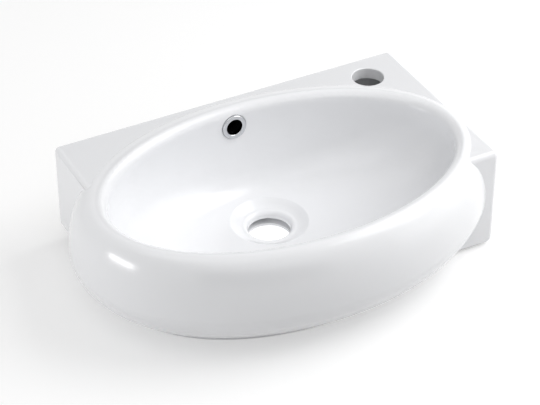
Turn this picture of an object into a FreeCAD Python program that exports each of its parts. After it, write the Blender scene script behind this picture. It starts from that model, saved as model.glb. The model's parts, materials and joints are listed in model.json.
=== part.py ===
"""Wall-hung oval cloakroom basin with a tap ledge, an overflow ring and the ring's sleeve.

Lengths are in millimetres. X runs along the wall, +Y points into the wall and +Z is up.
Heights are measured from the underside while modelling. The finished pieces are then lowered, so that
the origin lies on the wall face, midway between the two wall fixings.
"""
import FreeCAD
import Part
import Sketcher
import os

V = FreeCAD.Vector

DRIVING_SIZES = [
    ("oval_overhang", 27.5, "widest oval, beyond each end of the ledge if it were centred"),
    ("slab_depth", 227, "ledge's right side, out from the wall"),
    ("slab_height", 120, "ledge top above the underside"),
    ("left_rise", 17, "underside of the ledge's left part"),
    ("slab_edge_radius", 6, "rounding of the ledge's top and upright edges"),
    ("slab_foot_radius", 9, "rounding of the ledge's lower edges"),
    ("deck_thickness", 13, "top of the ledge"),
    ("skin_thickness", 10, "cast wall of the oval and the bowl"),
    ("ledge_wall", 12, "upright walls of the ledge, which the fixings pass through"),
    ("oval_shift", 8.25, "oval's middle, left of the ledge's middle"),
    ("bulge_half_width", 231.25, "oval at its widest"),
    ("bulge_half_depth", 166.5, "oval at its deepest"),
    ("wall_overlap", 25.25, "widest oval, cut off beyond the wall face"),
    ("bulge_height", 59, "height of the widest oval"),
    ("rim_rise", 4, "rim above the ledge"),
    ("rim_thickness", 28, "solid top of the rim, above the hollow"),
    ("rim_outer_radius", 11, "rounding of the rim towards the oval's side"),
    ("rim_inner_radius", 10.5, "rounding of the rim towards the bowl"),
    ("shoulder_inset_left", 10, "rim's outer edge before rounding, in from the widest oval at the left"),
    ("shoulder_inset_right", 23.5, "the same, at the right"),
    ("shoulder_inset_front", 16.75, "the same, at the front"),
    ("shoulder_inset_back", 40.25, "the same, at the wall"),
    ("rim_width_left", 27, "rim before rounding, from its outer edge to the bowl at the left"),
    ("rim_width_right", 17, "the same, at the right"),
    ("rim_width_front", 22, "the same, at the front"),
    ("rim_width_back", 17.5, "the same, at the wall"),
    ("bowl_brow", 12, "upright wall of the bowl, below the rim"),
    ("foot_inset", 46, "foot ring, in from the widest oval"),
    ("foot_height", 11, "foot ring"),
    ("foot_step", 3, "oval's underside, out from the foot ring"),
    ("bowl_floor_height", 30, "lowest part of the bowl, round the waste recess"),
    ("waste_offset", 27.25, "waste hole, nearer to the wall than the oval's middle"),
    ("bowl_floor_radius", 45, "level floor round the waste recess"),
    ("recess_radius", 42.5, "waste recess at the bowl floor"),
    ("recess_depth", 6, "waste recess"),
    ("recess_taper", 11, "waste recess, narrower at its bottom by"),
    ("recess_edge_radius", 3, "rounded edge of the waste recess"),
    ("waste_radius", 23, "waste hole"),
    ("waste_edge_radius", 6, "rounded edge of the waste hole"),
    ("waste_boss_wall", 23, "ceramic round the waste hole"),
    ("outlet_height", 6, "underside of the waste boss"),
    ("chamber_radius", 31, "overflow chamber round the waste hole"),
    ("chamber_height", 7, "overflow chamber"),
    ("chamber_rise", 3, "overflow chamber, above the boss's underside"),
    ("duct_width", 30, "overflow duct"),
    ("duct_depth", 10, "overflow duct"),
    ("duct_wall", 6, "ceramic round the overflow duct"),
    ("overflow_drop", 22, "middle of the overflow hole, below the rim"),
    ("overflow_radius", 12, "overflow hole"),
    ("overflow_seat_radius", 14.6, "flat seat round the overflow hole"),
    ("overflow_seat_depth", 0.8, "flat seat, into the bowl wall"),
    ("sleeve_clearance", 0.3, "sleeve in the overflow hole, all round"),
    ("sleeve_length", 8, "sleeve, behind its flange"),
    ("sleeve_flange", 1.5, "sleeve's flange, beyond its barrel"),
    ("sleeve_flange_thickness", 1, "sleeve's flange"),
    ("sleeve_wall", 2.6, "sleeve's barrel"),
    ("ring_radius", 14, "overflow ring, outside"),
    ("ring_crown", 1.9, "ring's bezel, in front of the sleeve's flange"),
    ("ring_fit", 0.1, "ring on the sleeve, all round"),
    ("ring_skirt_wall", 1, "ring's skirt"),
    ("ring_skirt_length", 4, "ring's skirt"),
    ("ring_edge_radius", 1.2, "rounded edges of the bezel"),
    ("tap_hole_radius", 17.5, "tap hole"),
    ("tap_hole_edge_radius", 1.2, "rounded edge of the tap hole"),
    ("tap_from_side", 49.25, "tap hole, in from the ledge's right side"),
    ("tap_to_rim", 7.5, "tap hole's edge, from the rim's outer edge before rounding"),
    ("fixing_spacing", 200, "between the wall fixings"),
    ("fixing_drop", 45, "wall fixings, below the ledge top"),
    ("fixing_radius", 7, "wall-fixing holes"),
]
TIED_SIZES = [
    ("slab_width", "2 * (bulge_half_width - oval_overhang)", "ledge, along the wall"),
    ("rim_height", "slab_height + rim_rise", "rim above the underside"),
    ("bulge_setback", "bulge_half_depth - wall_overlap", "middle of the widest oval, out from the wall"),
    ("waste_setback", "bulge_setback - waste_offset", "waste hole, out from the wall"),
    ("overflow_height", "rim_height - overflow_drop", "middle of the overflow hole"),
    ("fixing_height", "slab_height - fixing_drop", "wall fixings above the underside"),
]

# Shape of the oval's side: how fast it turns in above and below its widest line
UPPER_POWER = 2.6
LOWER_POWER = 1.53
UNDERSIDE_STEPS = [1.0, 0.8, 0.55, 0.28]
SIDE_STEPS = [0.0, 0.3, 0.55, 0.8, 1.0]
# Shares of the quarter turn from the bowl's floor to its wall
BOWL_STEPS = [0.85, 0.68, 0.5, 0.3, 0.12, 0.0]
# How far cutting shapes run past the faces that they cut
OVERRUN = 5

doc = FreeCAD.newDocument("basin")
sheet = doc.addObject("Spreadsheet::Sheet", "Dims")
for row, (alias, value, note) in enumerate(DRIVING_SIZES, start=1):
    sheet.set(f"A{row}", note)
    sheet.set(f"B{row}", str(value))
    sheet.setAlias(f"B{row}", alias)
for row, (alias, formula, note) in enumerate(TIED_SIZES, start=len(DRIVING_SIZES) + 1):
    sheet.set(f"A{row}", note)
    sheet.set(f"B{row}", f"={formula}")
    sheet.setAlias(f"B{row}", alias)
doc.recompute()


def size(expression):
    """Value of an expression of the sheet's sizes, for what can't be bound to a cell."""
    return float(sheet.evalExpression(expression))


def between(start, end, share):
    return f"(({start}) + ({share}) * (({end}) - ({start})))"


def turned_under(fall):
    """Share of the way in to the foot, on a quarter of a superellipse, at a share of the fall."""
    return 1 - (1 - fall ** LOWER_POWER) ** (1 / LOWER_POWER)


def place(obj, x="0", y="0", z="0"):
    obj.setExpression("Placement.Base.x", x)
    obj.setExpression("Placement.Base.y", y)
    obj.setExpression("Placement.Base.z", z)
    return obj


def box(name, x, y, z):
    """Box between a low and a high value along each axis."""
    block = doc.addObject("Part::Box", name)
    block.setExpression("Length", f"({x[1]}) - ({x[0]})")
    block.setExpression("Width", f"({y[1]}) - ({y[0]})")
    block.setExpression("Height", f"({z[1]}) - ({z[0]})")
    return place(block, x[0], y[0], z[0])


def upright_cylinder(name, radius, x, y, z):
    round_bar = doc.addObject("Part::Cylinder", name)
    round_bar.setExpression("Radius", radius)
    round_bar.setExpression("Height", f"({z[1]}) - ({z[0]})")
    return place(round_bar, x, y, z[0])


def oval(name, half_width, half_depth, middle, setback, height):
    """Level ellipse round a middle point."""
    ring = doc.addObject("Part::Ellipse", name)
    ring.setExpression("MajorRadius", half_width)
    ring.setExpression("MinorRadius", half_depth)
    return place(ring, middle, f"-({setback})", height)


def loft(name, sections):
    solid = doc.addObject("Part::Loft", name)
    solid.Sections = sections
    solid.Solid = True
    return solid


def fuse(name, shapes):
    joined = doc.addObject("Part::MultiFuse", name)
    joined.Shapes = shapes
    return joined


def cut(name, base, tool):
    rest = doc.addObject("Part::Cut", name)
    rest.Base = base
    rest.Tool = tool
    return rest


def fillet(name, base, choices):
    """Round the edges that each choice's test picks, by the size that it names."""
    doc.recompute()
    edges = []
    for test, radius in choices:
        picked = [i for i, edge in enumerate(base.Shape.Edges, start=1) if test(edge)]
        if not picked:
            raise RuntimeError(f"{name}: no edge to round by {radius}")
        edges += [(i, size(radius), size(radius)) for i in picked]
    rounded = doc.addObject("Part::Fillet", name)
    rounded.Base = base
    rounded.Edges = edges
    return rounded


def is_circle(edge, radius, height):
    """Whether an edge is a level circle of that radius at that height."""
    if edge.Degenerated:
        return False
    curve = edge.Curve
    if not isinstance(curve, Part.Circle):
        return False
    return abs(curve.Radius - size(radius)) < 0.01 and abs(curve.Center.z - size(height)) < 0.01


# Places that several features share
OVAL_X = "-Dims.oval_shift"
OVAL_LEFT_LIMIT = f"{OVAL_X} - Dims.bulge_half_width - {OVERRUN}"
OVAL_RIGHT_LIMIT = f"{OVAL_X} + Dims.bulge_half_width + {OVERRUN}"
SLAB_LEFT = "-Dims.slab_width / 2"
SLAB_RIGHT = "Dims.slab_width / 2"
TAP_X = f"{SLAB_RIGHT} - Dims.tap_from_side"
DUCT_LEFT = f"{OVAL_X} - Dims.duct_width / 2"
DUCT_RIGHT = f"{OVAL_X} + Dims.duct_width / 2"
BELOW = f"-{OVERRUN}"
ABOVE = f"Dims.rim_height + {OVERRUN}"
DECK_UNDERSIDE = "Dims.slab_height - Dims.deck_thickness"
BROW_HEIGHT = "Dims.rim_height - Dims.bowl_brow"
WASTE_Y = "-Dims.waste_setback"
RECESS_BOTTOM = "Dims.bowl_floor_height - Dims.recess_depth"
RECESS_BOTTOM_RADIUS = "Dims.recess_radius - Dims.recess_taper"

FOOT = {
    "half_width": "Dims.bulge_half_width - Dims.foot_inset",
    "half_depth": "Dims.bulge_half_depth - Dims.foot_inset",
    "middle": OVAL_X,
    "setback": "Dims.bulge_setback",
}
BULGE = {
    "half_width": "Dims.bulge_half_width",
    "half_depth": "Dims.bulge_half_depth",
    "middle": OVAL_X,
    "setback": "Dims.bulge_setback",
}
SHOULDER = {
    "half_width": "Dims.bulge_half_width - (Dims.shoulder_inset_left + Dims.shoulder_inset_right) / 2",
    "half_depth": "Dims.bulge_half_depth - (Dims.shoulder_inset_front + Dims.shoulder_inset_back) / 2",
    "middle": f"{OVAL_X} + (Dims.shoulder_inset_left - Dims.shoulder_inset_right) / 2",
    "setback": "Dims.bulge_setback + (Dims.shoulder_inset_back - Dims.shoulder_inset_front) / 2",
}
BROW = {
    "half_width": f"{SHOULDER['half_width']} - (Dims.rim_width_left + Dims.rim_width_right) / 2",
    "half_depth": f"{SHOULDER['half_depth']} - (Dims.rim_width_front + Dims.rim_width_back) / 2",
    "middle": f"{SHOULDER['middle']} + (Dims.rim_width_left - Dims.rim_width_right) / 2",
    "setback": f"{SHOULDER['setback']} + (Dims.rim_width_back - Dims.rim_width_front) / 2",
}
FLOOR = {
    "half_width": "Dims.bowl_floor_radius",
    "half_depth": "Dims.bowl_floor_radius",
    "middle": OVAL_X,
    "setback": "Dims.waste_setback",
}


def grown(line, by):
    """The same line, moved out by a wall, or in where that is negative."""
    return {
        "half_width": f"{line['half_width']} + ({by})",
        "half_depth": f"{line['half_depth']} + ({by})",
        "middle": line["middle"],
        "setback": line["setback"],
    }


def blended(start, end, share):
    return {key: between(start[key], end[key], share) for key in start}


def oval_side(name, foot, bulge, shoulder, foot_top, top):
    """Loft of the swelling side, from its foot to its shoulder."""
    sections = []
    for k, fall in enumerate(UNDERSIDE_STEPS):
        line = blended(bulge, foot, turned_under(fall))
        sections.append(oval(f"{name}_underside_{k}", height=between("Dims.bulge_height", foot_top, fall), **line))
    for k, rise in enumerate(SIDE_STEPS):
        line = blended(bulge, shoulder, rise ** UPPER_POWER)
        sections.append(oval(f"{name}_side_{k}", height=between("Dims.bulge_height", top, rise), **line))
    return loft(name, sections)


def bowl_line(turn):
    """Line of the bowl at a share of the quarter turn from its floor to its wall."""
    return blended(FLOOR, BROW, f"sin(90 deg * {turn})")


def bowl_height(turn):
    return between("Dims.bowl_floor_height", BROW_HEIGHT, f"1 - cos(90 deg * {turn})")


# Outside: the ledge, the swelling oval cut flat at the wall, and its foot ring.
# The ledge's left part ends at the oval's middle, where the foot ring takes over, and stops short of the floor.
ledge_block = box("ledge_block", (SLAB_LEFT, SLAB_RIGHT), ("-Dims.slab_depth", "0"), ("0", "Dims.slab_height"))
beside_foot = box("beside_foot", (f"{SLAB_LEFT} - {OVERRUN}", OVAL_X),
                  (f"-Dims.slab_depth - {OVERRUN}", "-Dims.bulge_setback"), (BELOW, ABOVE))
below_left = box("below_left", (f"{SLAB_LEFT} - {OVERRUN}", f"{DUCT_LEFT} - Dims.duct_wall"),
                 (f"-Dims.slab_depth - {OVERRUN}", str(OVERRUN)), (BELOW, "Dims.left_rise"))


def lies_at(edge, axis, place_expression):
    """Whether an edge's ends both have that coordinate."""
    return all(abs(getattr(vertex, axis) - size(place_expression)) < 0.01 for vertex in edge.Vertexes)


def at_wall(edge):
    return lies_at(edge, "Y", "0")


def at_side(edge):
    return lies_at(edge, "X", SLAB_LEFT) or lies_at(edge, "X", SLAB_RIGHT)


def at_front(edge):
    return lies_at(edge, "Y", "-Dims.slab_depth")


def on_deck(edge):
    return lies_at(edge, "Z", "Dims.slab_height")


def on_underside(edge):
    return lies_at(edge, "Z", "0") or lies_at(edge, "Z", "Dims.left_rise")


def is_upper_ledge_edge(edge):
    """The deck's outer edges and the upright ones at its corners."""
    if on_deck(edge):
        return at_wall(edge) or at_side(edge) or at_front(edge)
    return at_side(edge) and not on_underside(edge)


def is_lower_ledge_edge(edge):
    return on_underside(edge) and (at_side(edge) or at_front(edge))


ledge = fillet("ledge", cut("ledge_outline", ledge_block, fuse("ledge_cuts", [beside_foot, below_left])), [
    (is_upper_ledge_edge, "Dims.slab_edge_radius"),
    (is_lower_ledge_edge, "Dims.slab_foot_radius"),
])


def on_rim(edge):
    return lies_at(edge, "Z", "Dims.rim_height")


oval_swell = fillet("oval_swell", oval_side("oval_side", grown(FOOT, "Dims.foot_step"), BULGE, SHOULDER,
                                            "Dims.foot_height", "Dims.rim_height"),
                    [(on_rim, "Dims.rim_outer_radius")])
beyond_wall = box("beyond_wall", (OVAL_LEFT_LIMIT, OVAL_RIGHT_LIMIT), ("0", f"Dims.bulge_half_depth + {OVERRUN}"),
                  (BELOW, ABOVE))
oval_at_wall = cut("oval_at_wall", oval_swell, beyond_wall)
foot_ring = loft("foot_ring", [oval("foot_bottom", height="0", **FOOT),
                               oval("foot_top", height="Dims.bulge_height", **FOOT)])
outside = fuse("outside", [ledge, oval_at_wall, foot_ring])

# Hollow of the casting, open below
hollow_block = box("hollow_block",
                   (f"{SLAB_LEFT} + Dims.ledge_wall", f"{SLAB_RIGHT} - Dims.ledge_wall"),
                   ("-Dims.slab_depth + Dims.ledge_wall", "-Dims.ledge_wall"),
                   (BELOW, DECK_UNDERSIDE))
front_of_hollow = box("front_of_hollow", (SLAB_LEFT, OVAL_X),
                      ("-Dims.slab_depth", "-Dims.bulge_setback + Dims.ledge_wall"), (f"2 * {BELOW}", ABOVE))
ledge_hollow = cut("ledge_hollow", hollow_block, front_of_hollow)
inside_foot = grown(FOOT, "-Dims.skin_thickness")
HOLLOW_TOP = "Dims.rim_height - Dims.rim_thickness"
hollow_rise = f"(({HOLLOW_TOP} - Dims.bulge_height) / (Dims.rim_height - Dims.bulge_height))"
side_at_hollow_top = blended(BULGE, SHOULDER, f"{hollow_rise}^{UPPER_POWER}")
oval_hollow = oval_side("oval_hollow", inside_foot, grown(BULGE, "-Dims.skin_thickness"),
                        grown(side_at_hollow_top, "-Dims.skin_thickness"),
                        "Dims.foot_height + Dims.skin_thickness", HOLLOW_TOP)
foot_hollow = loft("foot_hollow", [oval("foot_hollow_bottom", height=BELOW, **inside_foot),
                                   oval("foot_hollow_top", height="Dims.bulge_height", **inside_foot)])
back_wall = box("back_wall", (OVAL_LEFT_LIMIT, OVAL_RIGHT_LIMIT),
                ("-Dims.ledge_wall", f"Dims.bulge_half_depth + {OVERRUN}"), (BELOW, ABOVE))
oval_hollow_space = cut("oval_hollow_space", fuse("oval_hollows", [oval_hollow, foot_hollow]), back_wall)
hollow = fuse("hollow", [ledge_hollow, oval_hollow_space])

# What stands in the hollow: the bowl's skin, the waste boss and the overflow duct
skin_sections = [oval("skin_top", height=ABOVE, **grown(BROW, "Dims.skin_thickness")),
                 oval("skin_brow", height=BROW_HEIGHT, **grown(BROW, "Dims.skin_thickness"))]
for k, turn in enumerate(BOWL_STEPS):
    skin_sections.append(oval(f"skin_{k}", height=f"{bowl_height(turn)} - Dims.skin_thickness",
                              **grown(bowl_line(turn), "Dims.skin_thickness")))
bowl_skin = loft("bowl_skin", skin_sections)
waste_boss = upright_cylinder("waste_boss", "Dims.waste_radius + Dims.waste_boss_wall", OVAL_X, WASTE_Y,
                              ("Dims.outlet_height", "Dims.bowl_floor_height"))
DUCT_BACK = "-Dims.duct_wall"
DUCT_FRONT = "-Dims.duct_wall - Dims.duct_depth"
DUCT_TOP = "Dims.overflow_height + Dims.overflow_radius"
DUCT_FLOOR = "Dims.outlet_height + Dims.chamber_rise"
DUCT_FLOOR_TOP = f"{DUCT_FLOOR} + Dims.chamber_height"
duct_sides = (f"{DUCT_LEFT} - Dims.duct_wall", f"{DUCT_RIGHT} + Dims.duct_wall")
drop_casing = box("drop_casing", duct_sides, (f"{DUCT_FRONT} - Dims.duct_wall", "0"),
                  ("Dims.outlet_height", f"{DUCT_TOP} + Dims.duct_wall"))
run_casing = box("run_casing", duct_sides, (WASTE_Y, "0"),
                 ("Dims.outlet_height", f"{DUCT_FLOOR_TOP} + Dims.duct_wall"))
standing = fuse("standing_in_hollow", [bowl_skin, waste_boss, drop_casing, run_casing])
shell = cut("shell", outside, cut("free_hollow", hollow, standing))

# The bowl
bowl_sections = [oval("bowl_top", height=ABOVE, **BROW), oval("bowl_brow_line", height=BROW_HEIGHT, **BROW)]
for k, turn in enumerate(BOWL_STEPS):
    bowl_sections.append(oval(f"bowl_{k}", height=bowl_height(turn), **bowl_line(turn)))
bowl = loft("bowl", bowl_sections)

# Waste: a tapered recess, the hole and the overflow chamber round it
recess = doc.addObject("Part::Cone", "waste_recess")
recess.setExpression("Radius1", RECESS_BOTTOM_RADIUS)
recess.setExpression("Radius2", "Dims.recess_radius + Dims.recess_taper")
recess.setExpression("Height", "2 * Dims.recess_depth")
place(recess, OVAL_X, WASTE_Y, RECESS_BOTTOM)
waste_hole = upright_cylinder("waste_hole", "Dims.waste_radius", OVAL_X, WASTE_Y,
                              (BELOW, "Dims.bowl_floor_height"))
chamber = upright_cylinder("overflow_chamber", "Dims.chamber_radius", OVAL_X, WASTE_Y, (DUCT_FLOOR, DUCT_FLOOR_TOP))
duct_drop = box("duct_drop", (DUCT_LEFT, DUCT_RIGHT), (DUCT_FRONT, DUCT_BACK), (DUCT_FLOOR, DUCT_TOP))
duct_run = box("duct_run", (DUCT_LEFT, DUCT_RIGHT), (WASTE_Y, DUCT_BACK), (DUCT_FLOOR, DUCT_FLOOR_TOP))

# Overflow hole, square to the bowl wall at its height
WALL_SHARE = f"((Dims.overflow_height - Dims.bowl_floor_height) / ({BROW_HEIGHT} - Dims.bowl_floor_height))"
WALL_SINE = f"sqrt(1 - (1 - {WALL_SHARE})^2)"
overflow_line = blended(FLOOR, BROW, WALL_SINE)
floor_to_brow = f"((({BROW['half_depth']}) - ({BROW['setback']})) - (Dims.bowl_floor_radius - Dims.waste_setback))"
WALL_SLOPE = f"({floor_to_brow} * (1 - {WALL_SHARE}) / {WALL_SINE} / ({BROW_HEIGHT} - Dims.bowl_floor_height))"
OVERFLOW_TILT = f"(atan({WALL_SLOPE}) / 1 deg)"
OVERFLOW_WALL_Y = f"(({overflow_line['half_depth']}) - ({overflow_line['setback']}))"


def on_overflow_axis(obj, distance, height="Dims.overflow_height"):
    """Turn a piece's own Z to point out of the overflow, its foot at a distance in front of the wall."""
    obj.Placement = FreeCAD.Placement(V(0, 0, 0), FreeCAD.Rotation(V(1, 0, 0), 90))
    obj.setExpression("Placement.Rotation.Angle", f"90 - {OVERFLOW_TILT}")
    ahead = f"(({distance}) * cos({OVERFLOW_TILT} * 1 deg))"
    upward = f"(({distance}) * sin({OVERFLOW_TILT} * 1 deg))"
    return place(obj, OVAL_X, f"{OVERFLOW_WALL_Y} - {ahead}", f"{height} + {upward}")


overflow_hole = doc.addObject("Part::Cylinder", "overflow_hole")
overflow_hole.setExpression("Radius", "Dims.overflow_radius")
overflow_hole.setExpression("Height", f"-({OVERFLOW_WALL_Y}) - Dims.duct_wall")
on_overflow_axis(overflow_hole, f"{OVERFLOW_WALL_Y} + Dims.duct_wall + Dims.duct_depth / 2")
overflow_seat = doc.addObject("Part::Cylinder", "overflow_seat")
overflow_seat.setExpression("Radius", "Dims.overflow_seat_radius")
overflow_seat.setExpression("Height", f"Dims.overflow_seat_depth + {OVERRUN}")
on_overflow_axis(overflow_seat, "-Dims.overflow_seat_depth")

# Holes for the tap, which keeps its distance from the rim, and the wall fixings
round_rim = grown(SHOULDER, "Dims.tap_to_rim + Dims.tap_hole_radius")
TAP_ALONG = f"(({TAP_X} - ({round_rim['middle']})) / ({round_rim['half_width']}))"
TAP_Y = f"({round_rim['half_depth']}) * sqrt(1 - {TAP_ALONG}^2) - ({round_rim['setback']})"
tap_hole = upright_cylinder("tap_hole", "Dims.tap_hole_radius", TAP_X, TAP_Y,
                            (f"{DECK_UNDERSIDE} - {OVERRUN}", ABOVE))
fixing_holes = []
for side, name in ((-1, "fixing_hole_left"), (1, "fixing_hole_right")):
    hole = doc.addObject("Part::Cylinder", name)
    hole.Placement = FreeCAD.Placement(V(0, 0, 0), FreeCAD.Rotation(V(1, 0, 0), 90))
    hole.setExpression("Radius", "Dims.fixing_radius")
    hole.setExpression("Height", f"Dims.ledge_wall + 2 * {OVERRUN}")
    place(hole, f"{side} * Dims.fixing_spacing / 2", str(OVERRUN), "Dims.fixing_height")
    fixing_holes.append(hole)


def in_bowl(edge):
    """Whether an edge lies on the bowl's wall, not further out."""
    middle = edge.valueAt((edge.FirstParameter + edge.LastParameter) / 2)
    across = (middle.x - size(BROW["middle"])) / size(BROW["half_width"])
    out = (middle.y + size(BROW["setback"])) / size(BROW["half_depth"])
    return abs(across ** 2 + out ** 2 - 1) < 0.01


passages = fuse("passages", [recess, waste_hole, chamber, duct_drop, duct_run, overflow_hole, overflow_seat,
                             tap_hole] + fixing_holes)
rounded_rim = fillet("rounded_rim", cut("open_bowl", shell, bowl), [
    (lambda edge: on_rim(edge) and in_bowl(edge), "Dims.rim_inner_radius"),
])
basin_body = fillet("basin_body", cut("casting", rounded_rim, passages), [
    (lambda edge: is_circle(edge, "Dims.recess_radius", "Dims.bowl_floor_height"), "Dims.recess_edge_radius"),
    (lambda edge: is_circle(edge, "Dims.waste_radius", RECESS_BOTTOM), "Dims.waste_edge_radius"),
    (lambda edge: is_circle(edge, "Dims.tap_hole_radius", "Dims.slab_height"), "Dims.tap_hole_edge_radius"),
])
place(basin_body, z="-Dims.fixing_height")


def turned_body(name, outline):
    """Body turned about its own Z from corners given as radius and height."""
    body = doc.addObject("PartDesign::Body", name)
    sketch = body.newObject("Sketcher::SketchObject", f"{name}_outline")
    side_plane = [plane for plane in body.Origin.OriginFeatures if plane.Role == "XZ_Plane"][0]
    sketch.AttachmentSupport = [(side_plane, "")]
    sketch.MapMode = "FlatFace"
    corners = [V(size(radius), size(height), 0) for radius, height in outline]
    count = len(corners)
    for k in range(count):
        sketch.addGeometry(Part.LineSegment(corners[k], corners[(k + 1) % count]))
    for k in range(count):
        sketch.addConstraint(Sketcher.Constraint("Coincident", k, 2, (k + 1) % count, 1))
    for k, (radius, height) in enumerate(outline):
        across = sketch.addConstraint(Sketcher.Constraint("DistanceX", -1, 1, k, 1, corners[k].x))
        sketch.renameConstraint(across, f"radius_{k}")
        sketch.setExpression(f"Constraints.radius_{k}", radius)
        if height == "0":
            sketch.addConstraint(Sketcher.Constraint("PointOnObject", k, 1, -1))
        else:
            up = sketch.addConstraint(Sketcher.Constraint("DistanceY", -1, 1, k, 1, corners[k].y))
            sketch.renameConstraint(up, f"height_{k}")
            sketch.setExpression(f"Constraints.height_{k}", height)
    turned = body.newObject("PartDesign::Revolution", f"{name}_turned")
    turned.Profile = sketch
    turned.ReferenceAxis = (sketch, ["V_Axis"])
    turned.Angle = 360
    doc.recompute()
    return body


# Sleeve: its barrel lies in the overflow hole, its flange on the flat seat, and the ring's skirt in its mouth
BARREL = "Dims.overflow_radius - Dims.sleeve_clearance"
BORE = f"{BARREL} - Dims.sleeve_wall"
FLANGE = f"{BARREL} + Dims.sleeve_flange"
SKIRT = f"{BORE} + Dims.ring_skirt_wall"
SLEEVE_FRONT = "Dims.sleeve_length + Dims.sleeve_flange_thickness"
MOUTH_FLOOR = f"{SLEEVE_FRONT} - Dims.ring_skirt_length - Dims.ring_fit"
sleeve = turned_body("overflow_sleeve", [
    (BORE, "0"),
    (BARREL, "0"),
    (BARREL, "Dims.sleeve_length"),
    (FLANGE, "Dims.sleeve_length"),
    (FLANGE, SLEEVE_FRONT),
    (f"{SKIRT} + Dims.ring_fit", SLEEVE_FRONT),
    (f"{SKIRT} + Dims.ring_fit", MOUTH_FLOOR),
    (BORE, MOUTH_FLOOR),
])

# Ring: a rounded bezel that covers the flange and reaches the seat, with a skirt in the sleeve's mouth
BEZEL_BACK = "Dims.ring_skirt_length"
SEAT_LINE = f"{BEZEL_BACK} - Dims.sleeve_flange_thickness"
BEZEL_FRONT = f"{BEZEL_BACK} + Dims.ring_crown"
ring = turned_body("overflow_ring", [
    (BORE, "0"),
    (SKIRT, "0"),
    (SKIRT, BEZEL_BACK),
    (f"{FLANGE} + Dims.ring_fit", BEZEL_BACK),
    (f"{FLANGE} + Dims.ring_fit", SEAT_LINE),
    ("Dims.ring_radius", SEAT_LINE),
    ("Dims.ring_radius", BEZEL_FRONT),
    (BORE, BEZEL_FRONT),
])
front_edges = [f"Edge{i}" for i, edge in enumerate(ring.Shape.Edges, start=1)
               if isinstance(edge.Curve, Part.Circle) and abs(edge.Curve.Center.z - size(BEZEL_FRONT)) < 0.01]
turned_ring = ring.Tip
bezel = ring.newObject("PartDesign::Fillet", "rounded_bezel")
bezel.Base = (turned_ring, front_edges)
bezel.setExpression("Radius", "Dims.ring_edge_radius")

SEAT_AHEAD = "-Dims.overflow_seat_depth"
LOWERED_HEIGHT = "Dims.overflow_height - Dims.fixing_height"
on_overflow_axis(sleeve, f"{SEAT_AHEAD} - Dims.sleeve_length", LOWERED_HEIGHT)
on_overflow_axis(ring, f"{SEAT_AHEAD} + Dims.sleeve_flange_thickness - Dims.ring_skirt_length", LOWERED_HEIGHT)
doc.recompute()

pieces = [basin_body, ring, sleeve]
for obj in doc.Objects:
    if "Invalid" in obj.State or "Error" in obj.State:
        raise RuntimeError(f"{obj.Name} failed: {obj.State}")
for piece in pieces:
    if piece.Shape.isNull() or not piece.Shape.isValid():
        raise RuntimeError(f"{piece.Label} has no valid shape")
os.makedirs("parts", exist_ok=True)
for piece in pieces:
    piece.Shape.exportStep(f"parts/{piece.Label}.step")
    print(piece.Label, len(piece.Shape.Solids), "solid", round(piece.Shape.Volume), "mm3")
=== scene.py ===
"""Looks of the wall-hung oval basin: glazed ceramic, chrome overflow ring, black sleeve, studio light."""
import json
import math

import bmesh
import bpy
import numpy as np
from mathutils import Matrix, Vector
from mathutils.kdtree import KDTree


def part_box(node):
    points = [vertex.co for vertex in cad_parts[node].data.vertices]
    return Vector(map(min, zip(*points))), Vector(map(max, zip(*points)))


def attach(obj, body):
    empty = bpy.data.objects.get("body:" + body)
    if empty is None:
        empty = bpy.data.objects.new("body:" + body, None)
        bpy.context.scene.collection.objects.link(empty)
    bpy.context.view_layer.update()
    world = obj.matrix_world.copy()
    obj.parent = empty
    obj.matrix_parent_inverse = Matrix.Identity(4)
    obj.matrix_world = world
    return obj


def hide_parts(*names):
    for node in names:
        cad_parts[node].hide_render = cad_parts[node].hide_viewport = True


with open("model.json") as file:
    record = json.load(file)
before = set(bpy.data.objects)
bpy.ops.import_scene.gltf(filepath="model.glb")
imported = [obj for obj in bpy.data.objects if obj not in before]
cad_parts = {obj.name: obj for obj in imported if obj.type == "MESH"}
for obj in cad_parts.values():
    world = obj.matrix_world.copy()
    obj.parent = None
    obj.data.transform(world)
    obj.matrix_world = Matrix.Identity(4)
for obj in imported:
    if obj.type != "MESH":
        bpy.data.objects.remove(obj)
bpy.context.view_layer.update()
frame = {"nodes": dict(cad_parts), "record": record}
nodes = frame["nodes"]
scene = bpy.context.scene
scene.view_settings.view_transform = "Standard"

FLOOR_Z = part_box("basin_body")[0].z
RIM_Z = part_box("basin_body")[1].z


def mount_place(name):
    """Where the record puts a mount."""
    return next(mount["pos_m"] for mount in frame["record"]["mounts"] if mount["name"] == name)


def add(name, data):
    """New object in the scene."""
    obj = bpy.data.objects.new(name, data)
    scene.collection.objects.link(obj)
    return obj


# Materials
def new_material(name):
    material = bpy.data.materials.new(name)
    material.use_nodes = True
    tree = material.node_tree
    shader = tree.nodes["Principled BSDF"]
    return material, tree, shader


def noise(tree, place, scale, detail):
    texture = tree.nodes.new("ShaderNodeTexNoise")
    texture.inputs["Scale"].default_value = scale
    texture.inputs["Detail"].default_value = detail
    tree.links.new(place, texture.inputs["Vector"])
    return texture.outputs["Fac"]


def spread(tree, value, low, high):
    """Map a value from 0..1 to low..high."""
    mapped = tree.nodes.new("ShaderNodeMapRange")
    mapped.inputs["To Min"].default_value = low
    mapped.inputs["To Max"].default_value = high
    tree.links.new(value, mapped.inputs["Value"])
    return mapped.outputs["Result"]


def bump(tree, shader, height, strength, distance):
    node = tree.nodes.new("ShaderNodeBump")
    node.inputs["Strength"].default_value = strength
    node.inputs["Distance"].default_value = distance
    tree.links.new(height, node.inputs["Height"])
    tree.links.new(node.outputs["Normal"], shader.inputs["Normal"])


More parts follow.
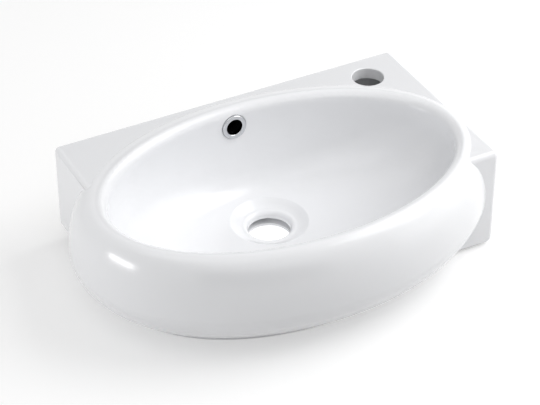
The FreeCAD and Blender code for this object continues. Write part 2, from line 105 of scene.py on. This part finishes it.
def two_colours(tree, factor, first, second):
    ramp = tree.nodes.new("ShaderNodeValToRGB")
    ramp.color_ramp.elements[0].color = (*first, 1)
    ramp.color_ramp.elements[1].color = (*second, 1)
    tree.links.new(factor, ramp.inputs["Fac"])
    return ramp.outputs["Color"]


def uneven_material(name, colours, clouds, roughness, grain):
    """Material whose colour and roughness vary with noise: clouds and grain give its scale and detail."""
    material, tree, shader = new_material(name)
    place = tree.nodes.new("ShaderNodeTexCoord").outputs["Object"]
    tree.links.new(two_colours(tree, noise(tree, place, *clouds), *colours), shader.inputs["Base Color"])
    tree.links.new(spread(tree, noise(tree, place, *grain), *roughness), shader.inputs["Roughness"])
    return material, tree, shader, place


def glaze_material():
    """White glaze: nearly even, a little uneven in gloss, with the faint ripple of a fired surface."""
    material, tree, shader, place = uneven_material(
        "white_glaze", colours=((0.885, 0.892, 0.911), (0.903, 0.908, 0.924)), clouds=(9.0, 2.0),
        roughness=(0.17, 0.23), grain=(40.0, 3.0))
    bump(tree, shader, noise(tree, place, scale=160.0, detail=2.0), strength=0.03, distance=0.0004)
    shader.inputs["IOR"].default_value = 1.52
    shader.inputs["Coat Weight"].default_value = 0.1
    shader.inputs["Coat Roughness"].default_value = 0.14
    return material


def bare_clay_and_shade_material(name, colours):
    """Matt and faintly grainy: fired clay without glaze, and also the near-black painted shade in the
    overflow duct.
    """
    material, tree, shader, place = uneven_material(
        name, colours, clouds=(220.0, 4.0), roughness=(0.75, 0.92), grain=(500.0, 2.0))
    bump(tree, shader, noise(tree, place, scale=900.0, detail=3.0), strength=0.12, distance=0.0002)
    shader.inputs["Specular IOR Level"].default_value = 0.2
    return material


def chrome_material():
    material, _, shader, _ = uneven_material(
        "bright_chrome", colours=((0.57, 0.58, 0.6), (0.67, 0.68, 0.7)), clouds=(120.0, 2.0),
        roughness=(0.05, 0.14), grain=(900.0, 3.0))
    shader.inputs["Metallic"].default_value = 1.0
    return material


def black_plastic_material():
    material, tree, shader, place = uneven_material(
        "black_plastic", colours=((0.004, 0.004, 0.005), (0.01, 0.01, 0.011)), clouds=(300.0, 3.0),
        roughness=(0.35, 0.55), grain=(1200.0, 2.0))
    bump(tree, shader, noise(tree, place, scale=2500.0, detail=2.0), strength=0.15, distance=0.0001)
    shader.inputs["Specular IOR Level"].default_value = 0.0
    return material


def dress(obj, material):
    obj.data.materials.clear()
    obj.data.materials.append(material)
    for polygon in obj.data.polygons:
        polygon.material_index = 0


# Ovals of the casting in plan: half width, half depth and middle
WIDEST_OVAL = np.array([0.23125, 0.1665, -0.00825, -0.14125])
RIM_OUTER_OVAL = np.array([0.2145, 0.138, -0.015, -0.153])
BOWL_OVAL = np.array([0.1925, 0.11825, -0.01, -0.15075])
CREST_SHARE = 0.62
CREST_OVAL = RIM_OUTER_OVAL + CREST_SHARE * (BOWL_OVAL - RIM_OUTER_OVAL)
WIDEST_HEIGHT = 0.059
WIDEST_Z = FLOOR_Z + WIDEST_HEIGHT
RIM_FULLNESS = 2.0
# Ledge: its deck, its ends, the front of its right part and the front of its left part
RIM_ABOVE_DECK = 0.004
DECK_Z = RIM_Z - RIM_ABOVE_DECK
LEDGE_HALF = 0.20375
LEDGE_FRONT = -0.227
LEFT_FRONT = -0.1425
LEDGE_ROUNDING = 0.006
TAP_AXIS = np.array(mount_place("tap_hole")[:2])
TAP_REACH = 0.0195
# Search for a point's oval, and step for slopes
LEAST_SHARE = -0.5
MOST_SHARE = 1.5
HALVINGS = 40
SMALL_STEP = 0.0002
# Faces of the rim: they lie near its swell, and not on the ledge's skin, inside the ledge or at the wall
RIM_DROP = 0.002
SWELL_MIDDLE = 1.06
SWELL_REACH = 0.2
CREST_LIMIT = 1.06
SKIN_REACH = 0.0009
SKIN_TURN = math.cos(math.radians(28))
INSIDE_DEPTH = 0.0005
WALL_STRIP = -0.007
# Division of the rim's faces
RIM_STEP = 0.004
DIVISIONS = 5
LOWEST_RISE = -0.04
FURTHEST_SHARE = 1.1
# The rim's edge on the ledge
EDGE_START = -0.0003
SETTLING_STEPS = 60
LEAST_RATE = 0.3
LONGEST_MOVE = 0.0005
SEAM_REACH = 0.0005
SUNK_DEPTH = 0.00005
# The finished mesh: the grid on which points join has this many steps in a metre
WELD_DISTANCE = 1e-6
JOINING_GRID = 1e6
SHARP_ANGLE = math.radians(40)


def oval_shares(points):
    """How far each point lies in plan from the widest oval, 0, to the crest, 1."""
    low = np.full(len(points), LEAST_SHARE)
    high = np.full(len(points), MOST_SHARE)
    for _ in range(HALVINGS):
        middle = (low + high) / 2
        oval = WIDEST_OVAL + middle[:, None] * (CREST_OVAL - WIDEST_OVAL)
        across = (points[:, 0] - oval[:, 2]) / oval[:, 0]
        out = (points[:, 1] - oval[:, 3]) / oval[:, 1]
        inside = across ** 2 + out ** 2 < 1
        low = np.where(inside, middle, low)
        high = np.where(inside, high, middle)
    return low


def rises(points):
    """How far each point lies from the widest level, 0, to the rim's top, 1."""
    return (points[:, 2] - WIDEST_Z) / (RIM_Z - WIDEST_Z)


def swells(points):
    """How far each point lies from the middle of the rim's round swell, which is 1 away."""
    ahead = np.clip(1 - oval_shares(points), 0, None)
    rise = np.clip(rises(points), 0, None)
    return (ahead ** RIM_FULLNESS + rise ** RIM_FULLNESS) ** (1 / RIM_FULLNESS)


def fuller(points):
    """Points outside the rim's round swell, from the widest oval to the crest, brought back to it."""
    share = oval_shares(points)
    rise = rises(points)
    ahead = np.clip(1 - share, 0, None)
    swell = swells(points)
    outside = (rise > 0) & (share < 1) & (swell > 1)
    shrink = np.maximum(swell, 1)
    old = WIDEST_OVAL + share[:, None] * (CREST_OVAL - WIDEST_OVAL)
    new = WIDEST_OVAL + (1 - ahead / shrink)[:, None] * (CREST_OVAL - WIDEST_OVAL)
    turn = np.arctan2((points[:, 1] - old[:, 3]) / old[:, 1], (points[:, 0] - old[:, 2]) / old[:, 0])
    moved = np.stack([new[:, 2] + new[:, 0] * np.cos(turn),
                      new[:, 3] + new[:, 1] * np.sin(turn),
                      WIDEST_Z + rise / shrink * (RIM_Z - WIDEST_Z)], axis=1)
    return np.where(outside[:, None], moved, points)


def ledge_reaches(points):
    """How far each point lies beyond the flat parts of the ledge: sideways, forwards and upwards."""
    sideways = np.abs(points[:, 0]) - LEDGE_HALF
    forwards = LEDGE_FRONT - points[:, 1]
    upwards = points[:, 2] - DECK_Z
    return np.stack([sideways, forwards, upwards], axis=1) + LEDGE_ROUNDING


def ledge_gaps(points):
    """How far each point lies from the skin of the ledge, a block with rounded edges."""
    beyond = ledge_reaches(points)
    outer = np.linalg.norm(np.clip(beyond, 0, None), axis=1)
    return outer + np.minimum(beyond.max(axis=1), 0) - LEDGE_ROUNDING


def ledge_slopes(points):
    """The way out of the ledge's skin at each point."""
    rates = []
    for axis in np.eye(3):
        step = SMALL_STEP * axis
        rates.append(ledge_gaps(points + step) - ledge_gaps(points - step))
    return np.stack(rates, axis=1) / (2 * SMALL_STEP)


def by_ledge(points):
    """Whether each point lies where the ledge reaches: anywhere at the right, near the wall at the left."""
    return (points[:, 0] > 0) | (points[:, 1] > LEFT_FRONT)


def rim_faces(body):
    """The faces of the rim: near its swell and not on the ledge or in the tap hole."""
    faces = [face for face in body.faces if face.calc_center_median().z > WIDEST_Z - RIM_DROP]
    middles = np.array([face.calc_center_median() for face in faces])
    normals = np.array([face.normal for face in faces])
    gaps = ledge_gaps(middles)
    along = (ledge_slopes(middles) * normals).sum(axis=1) > SKIN_TURN
    on_ledge = (np.abs(gaps) < SKIN_REACH) & along & by_ledge(middles)
    on_ledge |= middles[:, 1] > WALL_STRIP
    on_ledge |= (gaps < -INSIDE_DEPTH) & by_ledge(middles)
    in_tap_hole = np.linalg.norm(middles[:, :2] - TAP_AXIS, axis=1) < TAP_REACH
    near = (np.abs(swells(middles) - SWELL_MIDDLE) < SWELL_REACH) & (oval_shares(middles) < CREST_LIMIT)
    return {face for face, wanted in zip(faces, near & ~on_ledge & ~in_tap_hole) if wanted}


def divide_rim(body):
    """Short edges on the outer side of the rim."""
    for _ in range(DIVISIONS):
        rim_edges = {edge for face in rim_faces(body) for edge in face.edges}
        edges = [edge for edge in body.edges if edge in rim_edges and edge.calc_length() > RIM_STEP]
        middles = np.array([(edge.verts[0].co + edge.verts[1].co) / 2 for edge in edges])
        chosen = (rises(middles) > LOWEST_RISE) & (oval_shares(middles) < FURTHEST_SHARE)
        edges = [edge for edge, wanted in zip(edges, chosen) if wanted]
        if not edges:
            break
        bmesh.ops.subdivide_edges(body, edges=edges, cuts=1)
        bmesh.ops.triangulate(body, faces=[face for face in body.faces if len(face.verts) > 3])
        body.normal_update()


def settled(seam):
    """The rim's edge on the ledge brought to the swell: over flat faces, and lengthwise on rounded edges."""
    sloping = ledge_reaches(seam) > EDGE_START
    rounded = sloping.sum(axis=1) > 1
    lengthwise = np.where(sloping, 0.0, 1.0)
    for _ in range(SETTLING_STEPS):
        flat = fuller(seam)
        flat = flat - ledge_gaps(flat)[:, None] * ledge_slopes(flat)
        ahead = swells(seam + SMALL_STEP * lengthwise)
        behind = swells(seam - SMALL_STEP * lengthwise)
        rate = (ahead - behind) / (2 * SMALL_STEP)
        usable_rate = np.where(np.abs(rate) < LEAST_RATE, np.inf, rate)
        move = np.clip(np.minimum(1 - swells(seam), 0) / usable_rate, -LONGEST_MOVE, LONGEST_MOVE)
        seam = np.where(rounded[:, None], seam + move[:, None] * lengthwise, flat)
    return seam


def fill_rim(body):
    """The rim's outer side made one round swell, while its edge on the ledge slides over the ledge."""
    rim = rim_faces(body)
    rim_vertices = {vertex for face in rim for vertex in face.verts}
    vertices = [vertex for vertex in body.verts if vertex in rim_vertices]
    before = np.array([vertex.co for vertex in vertices])
    at_seam = np.array([any(face not in rim for face in vertex.link_faces) for vertex in vertices])
    at_seam &= np.abs(ledge_gaps(before)) < SEAM_REACH
    after = fuller(before)
    seam = settled(before[at_seam])
    after[at_seam] = seam
    nearest = KDTree(len(seam))
    for k, place in enumerate(seam):
        nearest.insert(place, k)
    nearest.balance()
    was_outside = ledge_gaps(before) > -SUNK_DEPTH
    is_inside = ledge_gaps(after) < -SUNK_DEPTH
    sunk = was_outside & is_inside & by_ledge(after) & ~at_seam
    for vertex, place, under in zip(vertices, after, sunk):
        vertex.co = nearest.find(place)[0] if under else place
    body.normal_update()


def joined(body):
    """Corners and faces with the points that fell together joined, and without faces folded flat there."""
    numbers = {}
    number_of = {}
    for vertex in body.verts:
        key = tuple(round(c * JOINING_GRID) for c in vertex.co)
        number_of[vertex] = numbers.setdefault(key, len(numbers))
    corners = [None] * len(numbers)
    for vertex, number in number_of.items():
        corners[number] = tuple(vertex.co)
    alike = {}
    for face in body.faces:
        face_corners = [number_of[vertex] for vertex in face.verts]
        if len(set(face_corners)) == 3:
            alike.setdefault(frozenset(face_corners), []).append(face_corners)
    return corners, [found[0] for found in alike.values() if len(found) % 2]


def glazed_body():
    """The casting as glazed: its rim a full round swell, its surface smooth."""
    body = bmesh.new()
    body.from_mesh(nodes["basin_body"].data)
    bmesh.ops.remove_doubles(body, verts=body.verts, dist=WELD_DISTANCE)
    body.normal_update()
    divide_rim(body)
    fill_rim(body)
    corners, faces = joined(body)
    body.free()
    mesh = bpy.data.meshes.new("glazed_body")
    mesh.from_pydata(corners, [], faces)
    mesh.shade_smooth()
    mesh.set_sharp_from_angle(angle=SHARP_ANGLE)
    piece = add("glazed_body", mesh)
    normals = piece.modifiers.new("even_shading", "WEIGHTED_NORMAL")
    normals.keep_sharp = True
    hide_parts("basin_body")
    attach(piece, "root")
    return piece


# Parts without glaze: the back and the foot, which stand on something in the kiln. Painted shade: the
# overflow duct and its bore, made near-black where they are only unlit
BARE_FACING = 0.9
BARE_DEPTH = 0.0008
DUCT_LOW = Vector((-0.0245, -0.0175, -0.068))
DUCT_HIGH = Vector((0.008, -0.004, 0.04))
SLEEVE_LOW, SLEEVE_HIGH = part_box("overflow_sleeve")
BORE_MIDDLE = (SLEEVE_LOW + SLEEVE_HIGH) / 2
BORE_REACH = 0.0135
CLAY_COLOURS = ((0.74, 0.72, 0.68), (0.8, 0.78, 0.74))
# Near-black painted shade for the overflow duct and bore, which are dark only for lack of light
DUCT_SHADE_COLOURS = ((0.002, 0.002, 0.002), (0.004, 0.004, 0.004))


def leave_bare_and_paint_duct_shade(piece):
    """Give the back and the foot, which are not glazed, bare clay, and the overflow duct and bore a
    near-black painted shade, after the glaze.
    """
    piece.data.materials.append(bare_clay_and_shade_material("bare_clay", CLAY_COLOURS))
    # Painted shade: near-black material for the unlit inside of the duct and bore
    piece.data.materials.append(bare_clay_and_shade_material("duct_painted_shade", DUCT_SHADE_COLOURS))
    for polygon in piece.data.polygons:
        middle = polygon.center
        on_back = polygon.normal.y > BARE_FACING and middle.y > -BARE_DEPTH
        under_foot = polygon.normal.z < -BARE_FACING and middle.z < FLOOR_Z + BARE_DEPTH
        painted_shade_in_duct = all(DUCT_LOW[k] < middle[k] < DUCT_HIGH[k] for k in range(3))
        from_axis = math.hypot(middle.x - BORE_MIDDLE.x, middle.z - BORE_MIDDLE.z)
        painted_shade_in_bore = from_axis < BORE_REACH and SLEEVE_LOW.y < middle.y < DUCT_HIGH.y
        if on_back or under_foot:
            polygon.material_index = 1
        # Painted shade: faces inside the duct and bore get the near-black material
        elif painted_shade_in_duct or painted_shade_in_bore:
            polygon.material_index = 2


body_piece = glazed_body()
dress(body_piece, glaze_material())
leave_bare_and_paint_duct_shade(body_piece)
dress(nodes["overflow_ring"], chrome_material())
dress(nodes["overflow_sleeve"], black_plastic_material())

# Camera, as the photograph was taken, with its angles in degrees and its focal length in pixels
AZIMUTH = -27.8465
ELEVATION = 36.2674
DISTANCE = 2.23835
SIDE_STEP = 0.046656
UP_STEP = -0.01859
SENSOR_WIDTH = 36.0
PICTURE_PIXELS = 540
FOCAL_PIXELS = 2000
CLIP_END = 50


def direction(azimuth, elevation):
    """The way out from the basin, by azimuth, from the front to the right, and elevation, in degrees."""
    a = math.radians(azimuth)
    e = math.radians(elevation)
    return Vector((math.sin(a) * math.cos(e), -math.cos(a) * math.cos(e), math.sin(e)))


back = direction(AZIMUTH, ELEVATION)
right = (-back).cross(Vector((0, 0, 1))).normalized()
up = right.cross(-back)
camera_data = bpy.data.cameras.new("camera")
camera_data.sensor_width = SENSOR_WIDTH
camera_data.lens = SENSOR_WIDTH * FOCAL_PIXELS / PICTURE_PIXELS
camera_data.clip_end = CLIP_END
camera = add("camera", camera_data)
camera_turn = Matrix((right, up, back)).transposed().to_4x4()
camera_place = back * DISTANCE + right * SIDE_STEP + up * UP_STEP + Vector((0, 0, FLOOR_Z))
camera.matrix_world = Matrix.Translation(camera_place) @ camera_turn
scene.camera = camera


# White floor: it takes the shadow, and is white where light falls on it
FLOOR_SIZE = 12.0
FLOOR_GAP = 0.0005
FLOOR_GREY = 0.69
FLOOR_GLOW = 0.38
MATT = 0.9
WASTE_AXIS = Vector(mount_place("waste_hole"))
# Painted light: a glowing round patch on the floor under the waste hole, bright where the basin shades the
# floor
PAINTED_LIGHT_RADIUS = 0.046
PAINTED_LIGHT_LEVEL = 0.4


def maths(tree, operation, first, second):
    """Two values put together, of which the second may be a plain number."""
    node = tree.nodes.new("ShaderNodeMath")
    node.operation = operation
    tree.links.new(first, node.inputs[0])
    if isinstance(second, float):
        node.inputs[1].default_value = second
    else:
        tree.links.new(second, node.inputs[1])
    return node.outputs[0]


def seen_directly(tree):
    """1 for the rays that look at the background: from the camera, in a reflection or through glass."""
    path = tree.nodes.new("ShaderNodeLightPath")
    seen = path.outputs["Is Camera Ray"]
    for kind in ("Is Glossy Ray", "Is Transmission Ray"):
        seen = maths(tree, "MAXIMUM", seen, path.outputs[kind])
    return seen


def floor_material():
    """Matt white with a little glow where it is looked at, and a glowing round patch of painted light under
    the waste hole, where the basin's shadow falls and no lamp is.
    """
    material, tree, shader = new_material("white_floor")
    shader.inputs["Base Color"].default_value = (FLOOR_GREY, FLOOR_GREY, FLOOR_GREY, 1)
    shader.inputs["Roughness"].default_value = MATT
    shader.inputs["Specular IOR Level"].default_value = 0.0
    from_waste = tree.nodes.new("ShaderNodeVectorMath")
    from_waste.operation = "DISTANCE"
    tree.links.new(tree.nodes.new("ShaderNodeTexCoord").outputs["Object"], from_waste.inputs[0])
    from_waste.inputs[1].default_value = (WASTE_AXIS.x, WASTE_AXIS.y, 0)
    # Painted light: the round patch under the waste hole glows, fully where looked at and faintly for other
    # rays
    in_painted_light = maths(tree, "LESS_THAN", from_waste.outputs["Value"], PAINTED_LIGHT_RADIUS)
    seen = seen_directly(tree)
    painted_light_glow = maths(tree, "MULTIPLY", in_painted_light, spread(tree, seen, low=PAINTED_LIGHT_LEVEL, high=1.0))
    glow = maths(tree, "MAXIMUM", spread(tree, seen, low=0.0, high=FLOOR_GLOW), painted_light_glow)
    white = tree.nodes.new("ShaderNodeEmission")
    tree.links.new(glow, white.inputs["Strength"])
    both = tree.nodes.new("ShaderNodeAddShader")
    tree.links.new(shader.outputs["BSDF"], both.inputs[0])
    tree.links.new(white.outputs["Emission"], both.inputs[1])
    tree.links.new(both.outputs["Shader"], tree.nodes["Material Output"].inputs["Surface"])
    return material


def rectangle(name, width, height):
    """Flat rectangle round its own middle."""
    x = width / 2
    y = height / 2
    mesh = bpy.data.meshes.new(name)
    mesh.from_pydata([(-x, -y, 0), (x, -y, 0), (x, y, 0), (-x, y, 0)], [], [(0, 1, 2, 3)])
    return add(name, mesh)


floor = rectangle("floor", FLOOR_SIZE, FLOOR_SIZE)
floor.location.z = FLOOR_Z - FLOOR_GAP
dress(floor, floor_material())

# Light: white surroundings, a large soft lamp at the right, four weaker lamps and two dark cards
SURROUNDINGS = 0.485
LAMP_TARGET = Vector((0, -0.15, 0))
DARK_CARD_TARGET = Vector((0, -0.1, 0))
DARK_CARD_GREY = 0.05
world = bpy.data.worlds.new("studio")
scene.world = world
world.use_nodes = True
sky_tree = world.node_tree
sky = sky_tree.nodes["Background"]
sky_level = spread(sky_tree, seen_directly(sky_tree), low=SURROUNDINGS, high=1.0)
sky_tree.links.new(sky_level, sky.inputs["Strength"])
sky.inputs["Color"].default_value = (1.0, 1.0, 1.0, 1)


def turn_to(obj, target, azimuth, elevation, distance):
    """Put an object at a distance from a target, facing it."""
    out = direction(azimuth, elevation)
    obj.location = target + out * distance
    obj.rotation_euler = out.to_track_quat("Z", "Y").to_euler()


def lamp(name, azimuth, elevation, distance, width, height, level):
    """Rectangular lamp that faces the basin, as bright on it as white surroundings of that level."""
    data = bpy.data.lights.new(name, "AREA")
    data.shape = "RECTANGLE"
    data.size = width
    data.size_y = height
    data.energy = level * (math.pi * distance) ** 2
    turn_to(add(name, data), LAMP_TARGET, azimuth, elevation, distance)


def dark_card(name, azimuth, elevation, distance, width, height):
    """Dark card that the camera doesn't see: it shades the basin from that side and shows in the glaze."""
    card = rectangle(name, width, height)
    turn_to(card, DARK_CARD_TARGET, azimuth, elevation, distance)
    material, _, shader = new_material(name)
    shader.inputs["Base Color"].default_value = (DARK_CARD_GREY, DARK_CARD_GREY, DARK_CARD_GREY, 1)
    shader.inputs["Roughness"].default_value = MATT
    dress(card, material)
    card.visible_camera = False


dark_card("card_behind", azimuth=155, elevation=35, distance=1.3, width=0.9, height=0.6)
dark_card("card_in_front", azimuth=-15, elevation=12, distance=1.2, width=1.1, height=0.5)
lamp("high_right", azimuth=78, elevation=47, distance=2.4, width=2.0, height=1.7, level=0.6)
lamp("low_right", azimuth=60, elevation=12, distance=0.9, width=0.7, height=0.5, level=0.13)
lamp("left", azimuth=-90, elevation=2, distance=1.6, width=0.6, height=0.2, level=0.2)
lamp("high_left", azimuth=-55, elevation=62, distance=2.0, width=1.6, height=1.2, level=0.11)
lamp("above_wall", azimuth=140, elevation=65, distance=1.8, width=1.2, height=1.2, level=0.03)

bpy.context.view_layer.update()
